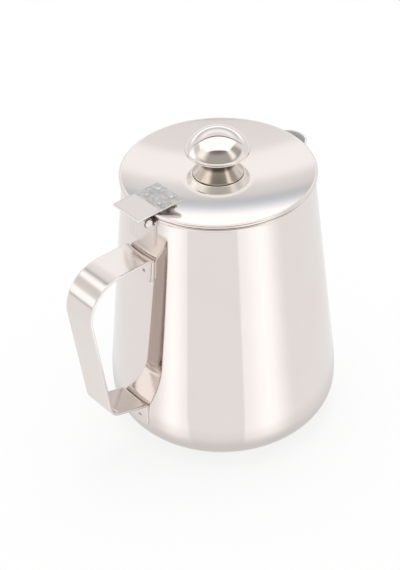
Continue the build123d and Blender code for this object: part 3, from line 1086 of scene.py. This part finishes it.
def build_posts(shape):
    """Round weld posts between the lever and the dish."""
    lid = shape.jug.lid
    top = lid.top + lid.lever_seat + POST_BITE
    posts = []
    for reach in shape.post_reaches:
        rim = math.hypot(reach + lid.post_radius, lid.post_pitch / 2 + lid.post_radius)
        foot = shape.dish_height(rim) + GAP
        outline = [(AXIS, foot)]
        for index in range(POST_ROWS + 1):
            share = index / POST_ROWS
            fillet = POST_FILLET * abs(2 * share - 1) ** FILLET_BEND
            outline.append((lid.post_radius + fillet, foot + (top - foot) * share))
        outline.append((AXIS, top))
        for side in (-1, 1):
            post = turn_outline(f"lever_post_{len(posts) + 1}", outline, POST_SEGMENTS)
            post.data.transform(Matrix.Translation((-reach, side * lid.post_pitch / 2, 0)))
            posts.append(post)
    return posts


def build_knuckle(shape):
    """Tongue under the thumb rest that is rolled round the pin."""
    lid = shape.jug.lid
    half = KNUCKLE_SHEET / 2
    roll = lid.eye_radius - half
    start = (HINGE.x - roll, lid.top + lid.lever_seat + KNUCKLE_BITE)
    drop = straight(start, (HINGE.x - roll, HINGE.z), count=4)
    curl = arc((HINGE.x, HINGE.z), roll, *KNUCKLE_TURN, count=40)
    line = [Vector(point) for point in drop + curl[1:]]
    directions = [(b - a).normalized() for a, b in zip(line, line[1:])]
    directions.append(directions[-1])

    def section_at(index):
        return strip_section(lid.knuckle_width / 2, half, KNUCKLE_EDGE, across=6)

    def place(index, spot, across, along):
        return (spot.x, across, spot.y)

    return sweep_strip("lever_knuckle", line, directions, section_at, place)


# Knob

CROWN_END = 89.9
PAN_RIM_TURN = -62
PAN_EASE = mm(0.4)
PAN_LIFT = mm(0.25)
PAN_LINING = mm(0.3)
FLARE_ROWS = 24
SPIGOT_LENGTH = mm(3)
STEM_EDGE = mm(0.15)
RING_EDGE = mm(0.2)
RING_FOOT, RING_CROWN = mm(0.05), mm(0.15)


def build_dome(shape):
    """Upper shell of the hollow knob: a rim arc that runs into a crown arc, outside and inside."""
    knob = shape.jug.knob
    level = shape.seam + GAP
    rim = knob.radius - knob.dome_corner
    rise = knob.dome_height - knob.dome_corner
    drop = (rim ** 2 - rise ** 2) / (2 * rise)
    meet = math.degrees(math.atan2(drop, rim))

    def face(inset, count):
        corner = arc((rim, level), knob.dome_corner - inset, 0, meet, count)
        return corner + arc((0, level - drop), knob.dome_height + drop - inset, meet, CROWN_END, count)[1:]

    outline = face(inset=0, count=24) + face(knob.sheet, count=12)[::-1]
    return turn_outline("knob_cap", outline, shape.jug.stage.segments)


def build_pan(shape):
    """Lower shell of the hollow knob."""
    knob = shape.jug.knob
    corner = knob.pan_corner
    bottom = shape.seam - knob.pan_depth
    floor = bottom + knob.sheet
    foot = knob.pan_foot - PAN_EASE
    rim = arc((knob.radius - corner, shape.seam), corner, 0, PAN_RIM_TURN, count=10)
    outline = [
        *rim,
        *straight(rim[-1], (knob.pan_foot, bottom + PAN_LIFT), count=12)[1:],
        (foot, bottom),
        (knob.pan_hole, bottom),
        (knob.pan_hole, floor),
        *straight((foot, floor), (knob.radius - 2 * corner, shape.seam - PAN_LINING), count=12),
        (knob.radius - corner, shape.seam),
    ]
    return turn_outline("knob_under", outline, shape.jug.stage.segments)


def build_stem(shape):
    """Turned stem with a flared foot and a spigot."""
    knob = shape.jug.knob
    foot, seat = BOXES["knob_stem"][0].z, shape.stem_seat
    bow = Vector((-knob.flare_bow, -knob.flare_bow))
    low, high = Vector((knob.foot_radius, shape.stem_shoulder)), Vector((knob.neck_radius, shape.stem_neck))
    flare = []
    for index in range(1, FLARE_ROWS + 1):
        share = index / FLARE_ROWS
        flare.append(tuple(low.lerp(high, share) + bow * 4 * share * (1 - share)))
    outline = [
        (AXIS, foot),
        (knob.foot_radius, foot),
        (knob.foot_radius, shape.stem_shoulder - STEM_EDGE),
        *flare,
        (knob.neck_radius, seat),
        (knob.spigot_radius, seat),
        (knob.spigot_radius, seat + SPIGOT_LENGTH),
        (AXIS, seat + SPIGOT_LENGTH),
    ]
    return turn_outline("stem_turned", outline, shape.jug.stage.segments, TURNED_CREASE)


def build_ring(shape):
    """Conical seat ring of the knob."""
    knob = shape.jug.knob
    low, top = (corner.z for corner in BOXES["knob_rosette"])
    ledge = low + knob.ring_sheet
    hole = knob.ring_bore - knob.ring_sheet
    cone_foot = (knob.ring_radius - RING_FOOT, low + 2 * RING_EDGE)
    cone_top = (knob.ring_top + RING_CROWN, top - 2 * RING_EDGE)
    outline = [
        (hole, low),
        (knob.ring_radius - RING_EDGE, low),
        (knob.ring_radius, low + RING_EDGE),
        *straight(cone_foot, cone_top, count=6),
        (knob.ring_top, top - RING_EDGE),
        (knob.ring_top - RING_EDGE, top),
        (knob.ring_bore, top),
        (knob.ring_bore, ledge),
        (hole, ledge),
    ]
    return turn_outline("seat_ring", outline, shape.jug.stage.segments, TURNED_CREASE)


# Operators

PAD_START = (mm(-60), mm(-58))
HEAT_CORE = 0.3
# Strength of the heat marks in the weld dents, and of the painted shade on the handle's inner face
HEAT_SHADE, INNER_PAINTED_SHADE = 0.7, 0.2
BRACKET_ROUGHNESS = 0.2
BRACKET_METAL = 0.75
# Ends of the ring of painted shade round the pin's head
PIN_SHADE_RISE = (mm(0.2), mm(0.3))
PIN_SHADE_FALL = (mm(-0.1), mm(-0.04))
UNDER_FADE = (mm(-1.4), mm(-0.7))
THROAT_RISE = (mm(-1.5), mm(-0.2))
THROAT_FALL = (mm(0.6), mm(1.7))
GROOVE_FADE = (mm(-0.15), mm(0.1))


def jug_of(context):
    """Sizes and looks that the panel shows."""
    return context.scene.milk_jug


def around(level, ends):
    """Two ends of a soft step, moved to a level."""
    return tuple(level + end for end in ends)


def span(across, above):
    """Length of two parts at a right angle."""
    return (across * across + above * above) ** 0.5


class JUG_OT_body(bpy.types.Operator):
    """Build the drawn shell and the beak of the jug"""

    bl_idname = "milk_jug.body"
    bl_label = "Body and Spout"

    def execute(self, context):
        jug = jug_of(context)
        shape = JugShape(jug)
        dress(build_body(shape), "jug", body_material(jug.finish), "body_steel", "jug_body")
        dress(build_spout(shape), "jug", beak_material(jug.finish), "body_steel", "spout")
        return {"FINISHED"}


class JUG_OT_handle(bpy.types.Operator):
    """Build the bent strip handle"""

    bl_idname = "milk_jug.handle"
    bl_label = "Handle"

    def execute(self, context):
        jug = jug_of(context)
        look, strip = jug.finish, jug.handle
        levels = (jug.body.height - strip.top_drop - strip.dot_level, strip.foot_height - strip.dot_level)

        def heat_marks_and_painted_shade(finish):
            """Heat marks in the weld dents, and painted shade on the inner face of the strip, which faces the body."""
            aside = abs(finish.part("Y")) - strip.dot_pitch / 2
            marks = 0
            for level in levels:
                reach = span(aside, finish.part("Z") - level)
                marks = marks + (1 - finish.step(reach, strip.dot_radius * HEAT_CORE, strip.dot_radius))
            marks = marks * finish.step(finish.part("X"), *PAD_START)
            # Painted shade: the inner face is darkened so that its mirror image in the body looks dark
            inner = finish.step(finish.part("X", "Normal"), 0.3, 0.6)
            return marks * HEAT_SHADE + inner * INNER_PAINTED_SHADE

        steel = steel_material(
            "handle_steel", look.steel, look.strip_roughness, STRIP_GRAIN, heat_marks_and_painted_shade, look.shaded
        )
        dress(build_handle(JugShape(jug)), "jug", steel, "handle_steel", "handle")
        return {"FINISHED"}


class JUG_OT_hinge(bpy.types.Operator):
    """Finish the bracket, the pin and the hidden hardware"""

    bl_idname = "milk_jug.hinge"
    bl_label = "Hinge"

    def execute(self, context):
        jug = jug_of(context)
        look, lid = jug.finish, jug.lid
        pivot = frame["nodes"]["hinge_bracket"].matrix_world.inverted() @ HINGE

        def seam(finish):
            """Painted shade in the ring round the head of the pin, standing in for the shadow in the gap between pin
            and eye.
            """
            reach = span(finish.part("X") - pivot.x, finish.part("Z") - pivot.z)
            return finish.band(reach, around(lid.pin_radius, PIN_SHADE_RISE), around(lid.eye_radius, PIN_SHADE_FALL))

        bracket = steel_material(
            "bracket_steel", look.steel, BRACKET_ROUGHNESS, PIN_GRAIN, seam, look.shaded, BRACKET_METAL
        )
        pin = steel_material("pin_steel", look.steel, look.strip_roughness, PIN_GRAIN)
        coat(frame["nodes"]["hinge_bracket"], bracket)
        for node in ("hinge_pin", "knob_screw", "knob_washer"):
            coat(frame["nodes"][node], pin)
        return {"FINISHED"}


class JUG_OT_lid(bpy.types.Operator):
    """Build the dished lid and its lever"""

    bl_idname = "milk_jug.lid"
    bl_label = "Lid and Lever"

    def execute(self, context):
        jug = jug_of(context)
        shape = JugShape(jug)
        steel = steel_material("lid_steel", jug.finish.steel, jug.finish.lid_roughness, SPUN_GRAIN)
        dress(build_lid(shape), "lid", steel, "lid_steel", "lid")
        worn = lever_material(jug.finish)
        for thing in (build_lever(shape), *build_posts(shape), build_knuckle(shape)):
            dress(thing, "lid", worn, "lever_steel", "lid_lever")
        return {"FINISHED"}


class JUG_OT_knob(bpy.types.Operator):
    """Build the hollow knob, its stem and its seat ring"""

    bl_idname = "milk_jug.knob"
    bl_label = "Knob"

    def execute(self, context):
        jug = jug_of(context)
        look = jug.finish
        shape = JugShape(jug)

        def under(finish):
            """Painted shade on the underside of the knob, below the seam."""
            return 1 - finish.step(finish.part("Z"), *around(shape.seam, UNDER_FADE))

        def collar(finish):
            """Painted shade on the throat of the stem under the knob, and on the foot's edge where the stem meets the
            seat ring.
            """
            height = finish.part("Z")
            neck = shape.stem_neck
            throat = finish.band(height, around(neck, THROAT_RISE), around(neck, THROAT_FALL))
            groove = 1 - finish.step(height, *around(shape.stem_shoulder, GROOVE_FADE))
            return throat + groove

        polished = steel_material("knob_steel", look.steel, look.mirror_roughness, SPUN_GRAIN)
        lower = steel_material("pan_steel", look.steel, look.mirror_roughness, SPUN_GRAIN, under, look.shaded)
        turned = steel_material(
            "stem_steel", look.warm, look.lid_roughness, TURNED_GRAIN, collar, look.shaded
        )
        satin = steel_material("ring_steel", look.cream, look.satin_roughness, TURNED_GRAIN)
        cap, pan, stem, ring = (build(shape) for build in (build_dome, build_pan, build_stem, build_ring))
        dress(cap, "lid", polished, "knob_steel", "knob_dome")
        dress(pan, "lid", lower, "knob_steel", "knob_pan")
        dress(stem, "lid", turned, "stem_steel", "knob_stem")
        dress(ring, "lid", satin, "stem_steel", "knob_rosette")
        for thing in (cap, pan, stem, ring, frame["nodes"]["knob_screw"]):
            thing.visible_glossy = False
        return {"FINISHED"}


# Stage

FLOOR_HALF = 3.0
FLOOR_WHITE = 0.8
FLOOR_TONE = (0.91, 0.91, 0.91)
# Painted shadow round the jug's foot on the floor that the steel sees
PAINTED_FOOT_SHADOW = (0.70, 0.69, 0.68)
FOOT_REACH = (mm(52), mm(86))
STRIPE_TONE = (1.26, 1.26, 1.26)
STRIPES = ((-1, 38.5, 54.0, 76.0), (1, 19.0, 45.0, 74.0))
STRIPE_EDGE = (-1.5, 1.5)
STRIPE_FLOOR = 0.5
STRIPE_FOCUS = mm(30)

BACKDROP_TONE = (0.86, 0.86, 0.86)
SKY_PEAK = 1.3
REAR_STOPS = (
    (0.0, 0.64),
    (0.085, 0.64),
    (0.115, 1.0),
    (0.235, 1.0),
    (0.285, (0.72, 0.76, 0.82)),
    (0.32, (0.53, 0.57, 0.63)),
    (0.37, (0.42, 0.45, 0.48)),
    (0.415, 0.60),
    (0.495, 0.67),
    (0.55, 0.84),
    (0.685, 0.84),
    (0.725, 0.69),
    (0.90, 0.67),
)
LEFT_STOPS = (
    (0.0, 0.40),
    (0.03, 0.40),
    (0.07, 0.95),
    (0.30, 1.0),
    (0.38, 0.60),
    (0.60, (0.56, 0.54, 0.52)),
    (0.66, 0.95),
    (0.74, 0.95),
    (0.80, 0.68),
)
SIDE_STOPS = ((0.0, 0.66), (0.90, 0.68))
FRONT_STOPS = (
    (0.0, 0.77),
    (0.28, 0.73),
    (0.36, (0.31, 0.30, 0.28)),
    (0.45, (0.34, 0.33, 0.31)),
    (0.72, (0.34, 0.33, 0.31)),
    (0.86, (0.16, 0.15, 0.14)),
    (0.95, (0.16, 0.15, 0.14)),
)
REAR_EDGE = (-0.25, 0.05)
REAR_LEAN = 0.3
REAR_BEARING, REAR_TURN = 180, (32, 55)
LEFT_BEARING, LEFT_TURN = -99, (10, 20)

SIDE_LIGHTS = ((-68.0, 32.0), (60.0, 18.0))
SIDE_LIGHT_TONE = (1.2, 1.16, 1.08)
SIDE_LIGHT_RISE = (0.3, 0.5)
SOFTBOX_TONE = (1.3, 1.3, 1.3)
SOFTBOX_RISE = 0.2
SOFTBOX_BOW = 0.16
SOFTBOX_TAPER = 0.5
SOFTBOX_SIDES = (0.85, 1.0)
SOFTBOX_FRONT = (-0.47, -0.42)
SOFTBOX_REAR = (0.42, 0.46)
FRAME_TONE = (0.16, 0.15, 0.15)
FRAME_FRONT = (0.45, 0.48)
FRAME_REAR = (0.53, 0.57)
FRAME_ENDS = (1.8, 3.5)


def turn_from(bearing, middle):
    """Angle in degrees between a bearing and a middle, without its sign."""
    turn = (bearing - middle) / 360
    return abs(turn - round(turn)) * 360


def glow_round(bearing, middle, reach):
    """Smooth glow, in degrees of bearing, that falls from 1 at its middle to 0 at its reach."""
    glow = 1 - (turn_from(bearing, middle) / reach).capped(1)
    return glow * glow * (3 - 2 * glow)


def bearings(finish, vector, stage, focus=0.0):
    """Parts of a vector to the rear, the right and upward, and its bearing about a focus."""
    across, along, rise = (finish.split(vector, axis) for axis in "XYZ")
    rear = across * math.cos(stage.azimuth) + along * math.sin(stage.azimuth)
    right = across * math.sin(stage.azimuth) - along * math.cos(stage.azimuth)
    bearing = right.math("ARCTAN2", right, -focus - rear) * math.degrees(1)
    return rear, right, rise, bearing


def build_surroundings(stage):
    """Studio as the polished steel sees it: pale behind, darker in front, and a wide softbox overhead."""
    scene = bpy.context.scene
    scene.world = scene.world or bpy.data.worlds.new("studio")
    scene.world.use_nodes = True
    finish = Finish(scene.world.node_tree)
    heading = finish.node("ShaderNodeTexCoord", output="Generated")
    rear, right, rise, bearing = bearings(finish, heading, stage)
    leftward = 1 - finish.step(turn_from(bearing, LEFT_BEARING), *LEFT_TURN)
    side = finish.mix(leftward, finish.ramp(rise, SIDE_STOPS), finish.ramp(rise, LEFT_STOPS))
    straight_on = 1 - finish.step(turn_from(bearing, REAR_BEARING), *REAR_TURN)
    back = finish.mix(straight_on, side, finish.ramp(rise, REAR_STOPS))
    behind = finish.step(rear - right * REAR_LEAN, *REAR_EDGE)
    sky = finish.mix(behind, finish.ramp(rise, FRONT_STOPS), back)
    sky = finish.node("ShaderNodeVectorMath", {"operation": "SCALE"}, {0: sky, "Scale": SKY_PEAK})
    window = finish.step(rise, *SIDE_LIGHT_RISE)
    for middle, reach in SIDE_LIGHTS:
        sky = finish.mix(glow_round(bearing, middle, reach) * window, sky, paint(SIDE_LIGHT_TONE))
    slope = rear / rise
    aside = right / rise
    width = abs(aside)
    up = rise.over(SOFTBOX_RISE)
    edge = slope - aside * aside * SOFTBOX_BOW
    rail = up * finish.band(edge, FRAME_FRONT, FRAME_REAR) * (1 - finish.step(width, *FRAME_ENDS))
    sky = finish.mix(rail, sky, paint(FRAME_TONE))
    sides = 1 - finish.step(width - slope * SOFTBOX_TAPER, *SOFTBOX_SIDES)
    depth = finish.step(slope, *SOFTBOX_FRONT) * (1 - finish.step(edge, *SOFTBOX_REAR))
    sky = finish.mix(up * sides * depth, sky, paint(SOFTBOX_TONE))
    glossy = finish.node("ShaderNodeLightPath", output="Is Glossy Ray")
    seen = finish.mix(glossy, paint(BACKDROP_TONE), sky)
    backdrop = finish.node("ShaderNodeBackground", inputs={"Color": seen, "Strength": 1.0})
    finish.node("ShaderNodeOutputWorld", inputs={"Surface": backdrop})


def build_floor(stage):
    """Pale floor. Polished steel sees it with two painted bright sectors beside the camera and a painted shadow round
    the jug's foot.
    """
    rim = FLOOR_HALF
    corners = [(-rim, -rim, 0), (rim, -rim, 0), (rim, rim, 0), (-rim, rim, 0)]
    floor = make_object("floor", corners, [(0, 1, 2, 3)])
    material, finish = new_finish("floor_pale")
    spot = finish.node("ShaderNodeTexCoord", output="Object")
    rear, right, _, bearing = bearings(finish, spot, stage, STRIPE_FOCUS)
    bright = paint(FLOOR_TONE)
    for side, edge, crest, end in STRIPES:
        turn = bearing * side
        glow = finish.band(turn, around(edge, STRIPE_EDGE), (crest, end))
        glow = glow * (STRIPE_FLOOR + (1 - STRIPE_FLOOR) * finish.step(turn, edge, crest))
        bright = finish.mix(glow, bright, paint(STRIPE_TONE))
    # Painted shadow: the floor that the steel sees is darker round the jug's foot
    near = 1 - finish.step(span(rear, right), *FOOT_REACH)
    bright = finish.mix(near, bright, paint(PAINTED_FOOT_SHADOW))
    tone = finish.node("ShaderNodeEmission", inputs={"Color": bright, "Strength": 1.0})
    white = finish.node("ShaderNodeEmission", inputs={"Color": (1, 1, 1, 1), "Strength": 1.0})
    matt = finish.node("ShaderNodeBsdfDiffuse", inputs={"Color": paint(stage.floor)})
    camera = finish.node("ShaderNodeLightPath", output="Is Camera Ray")
    glossy = finish.node("ShaderNodeLightPath", output="Is Glossy Ray")
    seen = finish.node("ShaderNodeMixShader", inputs={0: camera * FLOOR_WHITE, 1: matt, 2: white})
    surface = finish.node("ShaderNodeMixShader", inputs={0: glossy, 1: seen, 2: tone})
    finish.node("ShaderNodeOutputMaterial", inputs={"Surface": surface})
    coat(floor, material)
    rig.stage(floor)


def add_softbox(name, place, aim, size, power):
    """Square lamp that looks at a point."""
    lamp = bpy.data.lights.new(name, "AREA")
    lamp.size = size
    lamp.energy = power
    thing = add_to_scene(name, lamp)
    thing.location = place
    thing.rotation_euler = (Vector(aim) - Vector(place)).to_track_quat("-Z", "Y").to_euler()
    thing.visible_glossy = False


def add_camera(stage):
    """Camera at the photograph's viewing angle."""
    bearing, rise, roll = stage.azimuth, stage.elevation, stage.roll
    flat_right = Vector((math.sin(bearing), -math.cos(bearing), 0))
    back = Vector((-math.cos(bearing) * math.cos(rise), -math.sin(bearing) * math.cos(rise), math.sin(rise)))
    flat_up = back.cross(flat_right)
    right = flat_right * math.cos(roll) + flat_up * math.sin(roll)
    up = flat_up * math.cos(roll) - flat_right * math.sin(roll)
    aim = Vector((0, 0, stage.aim_height)) - flat_right * stage.aim_left
    data = bpy.data.cameras.new("camera")
    data.lens = stage.lens
    data.sensor_width = 36.0
    data.clip_start = 0.01
    thing = add_to_scene("camera", data)
    turn = Matrix((right, up, back)).transposed().to_4x4()
    thing.matrix_world = Matrix.Translation(aim + back * stage.distance) @ turn
    bpy.context.scene.camera = thing


class JUG_OT_stage(bpy.types.Operator):
    """Build the pale floor, the studio light and the camera"""

    bl_idname = "milk_jug.stage"
    bl_label = "Stage"

    def execute(self, context):
        stage = jug_of(context).stage
        context.scene.view_settings.view_transform = "Standard"
        build_surroundings(stage)
        build_floor(stage)
        add_softbox("overhead_softbox", place=(0.1, 0.1, 1.1), aim=(0, 0, 0.1), size=0.55, power=3.0)
        add_camera(stage)
        return {"FINISHED"}


class JUG_PT_panel(bpy.types.Panel):
    """Sidebar panel that lists the pieces and their sizes"""

    bl_idname = "JUG_PT_panel"
    bl_label = "Milk Jug"
    bl_space_type = "VIEW_3D"
    bl_region_type = "UI"
    bl_category = "Milk Jug"

    def draw(self, context):
        jug = jug_of(context)
        for operator in OPERATORS:
            self.layout.operator(operator.bl_idname)
        for group in (jug.body, jug.spout, jug.handle, jug.lid, jug.knob, jug.finish, jug.stage):
            box = self.layout.box()
            for key in group.bl_rna.properties.keys():
                if key not in ("rna_type", "name"):
                    box.prop(group, key)


OPERATORS = (JUG_OT_body, JUG_OT_handle, JUG_OT_hinge, JUG_OT_lid, JUG_OT_knob, JUG_OT_stage)
GROUPS = (BodySizes, SpoutSizes, HandleSizes, LidSizes, KnobSizes, FinishLook, StageLook, MilkJug)
CLASSES = (*GROUPS, *OPERATORS, JUG_PT_panel)


def register():
    """Adds the classes and the scene's settings."""
    for cls in CLASSES:
        bpy.utils.register_class(cls)
    bpy.types.Scene.milk_jug = PointerProperty(type=MilkJug)


def unregister():
    """Takes the settings and the classes away again."""
    del bpy.types.Scene.milk_jug
    for cls in reversed(CLASSES):
        bpy.utils.unregister_class(cls)


def main():
    """Builds every piece and the stage, and writes both boxes."""
    register()
    bpy.ops.milk_jug.body()
    bpy.ops.milk_jug.handle()
    bpy.ops.milk_jug.hinge()
    bpy.ops.milk_jug.lid()
    bpy.ops.milk_jug.knob()
    bpy.ops.milk_jug.stage()
    boxes = {"cad": [list(corner) for corner in CAD_BOX], "visual": [list(corner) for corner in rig.bounds()]}
    with open(SIZE_FILE, "w") as out:
        json.dump(boxes, out)


if __name__ == "__main__":
    main()
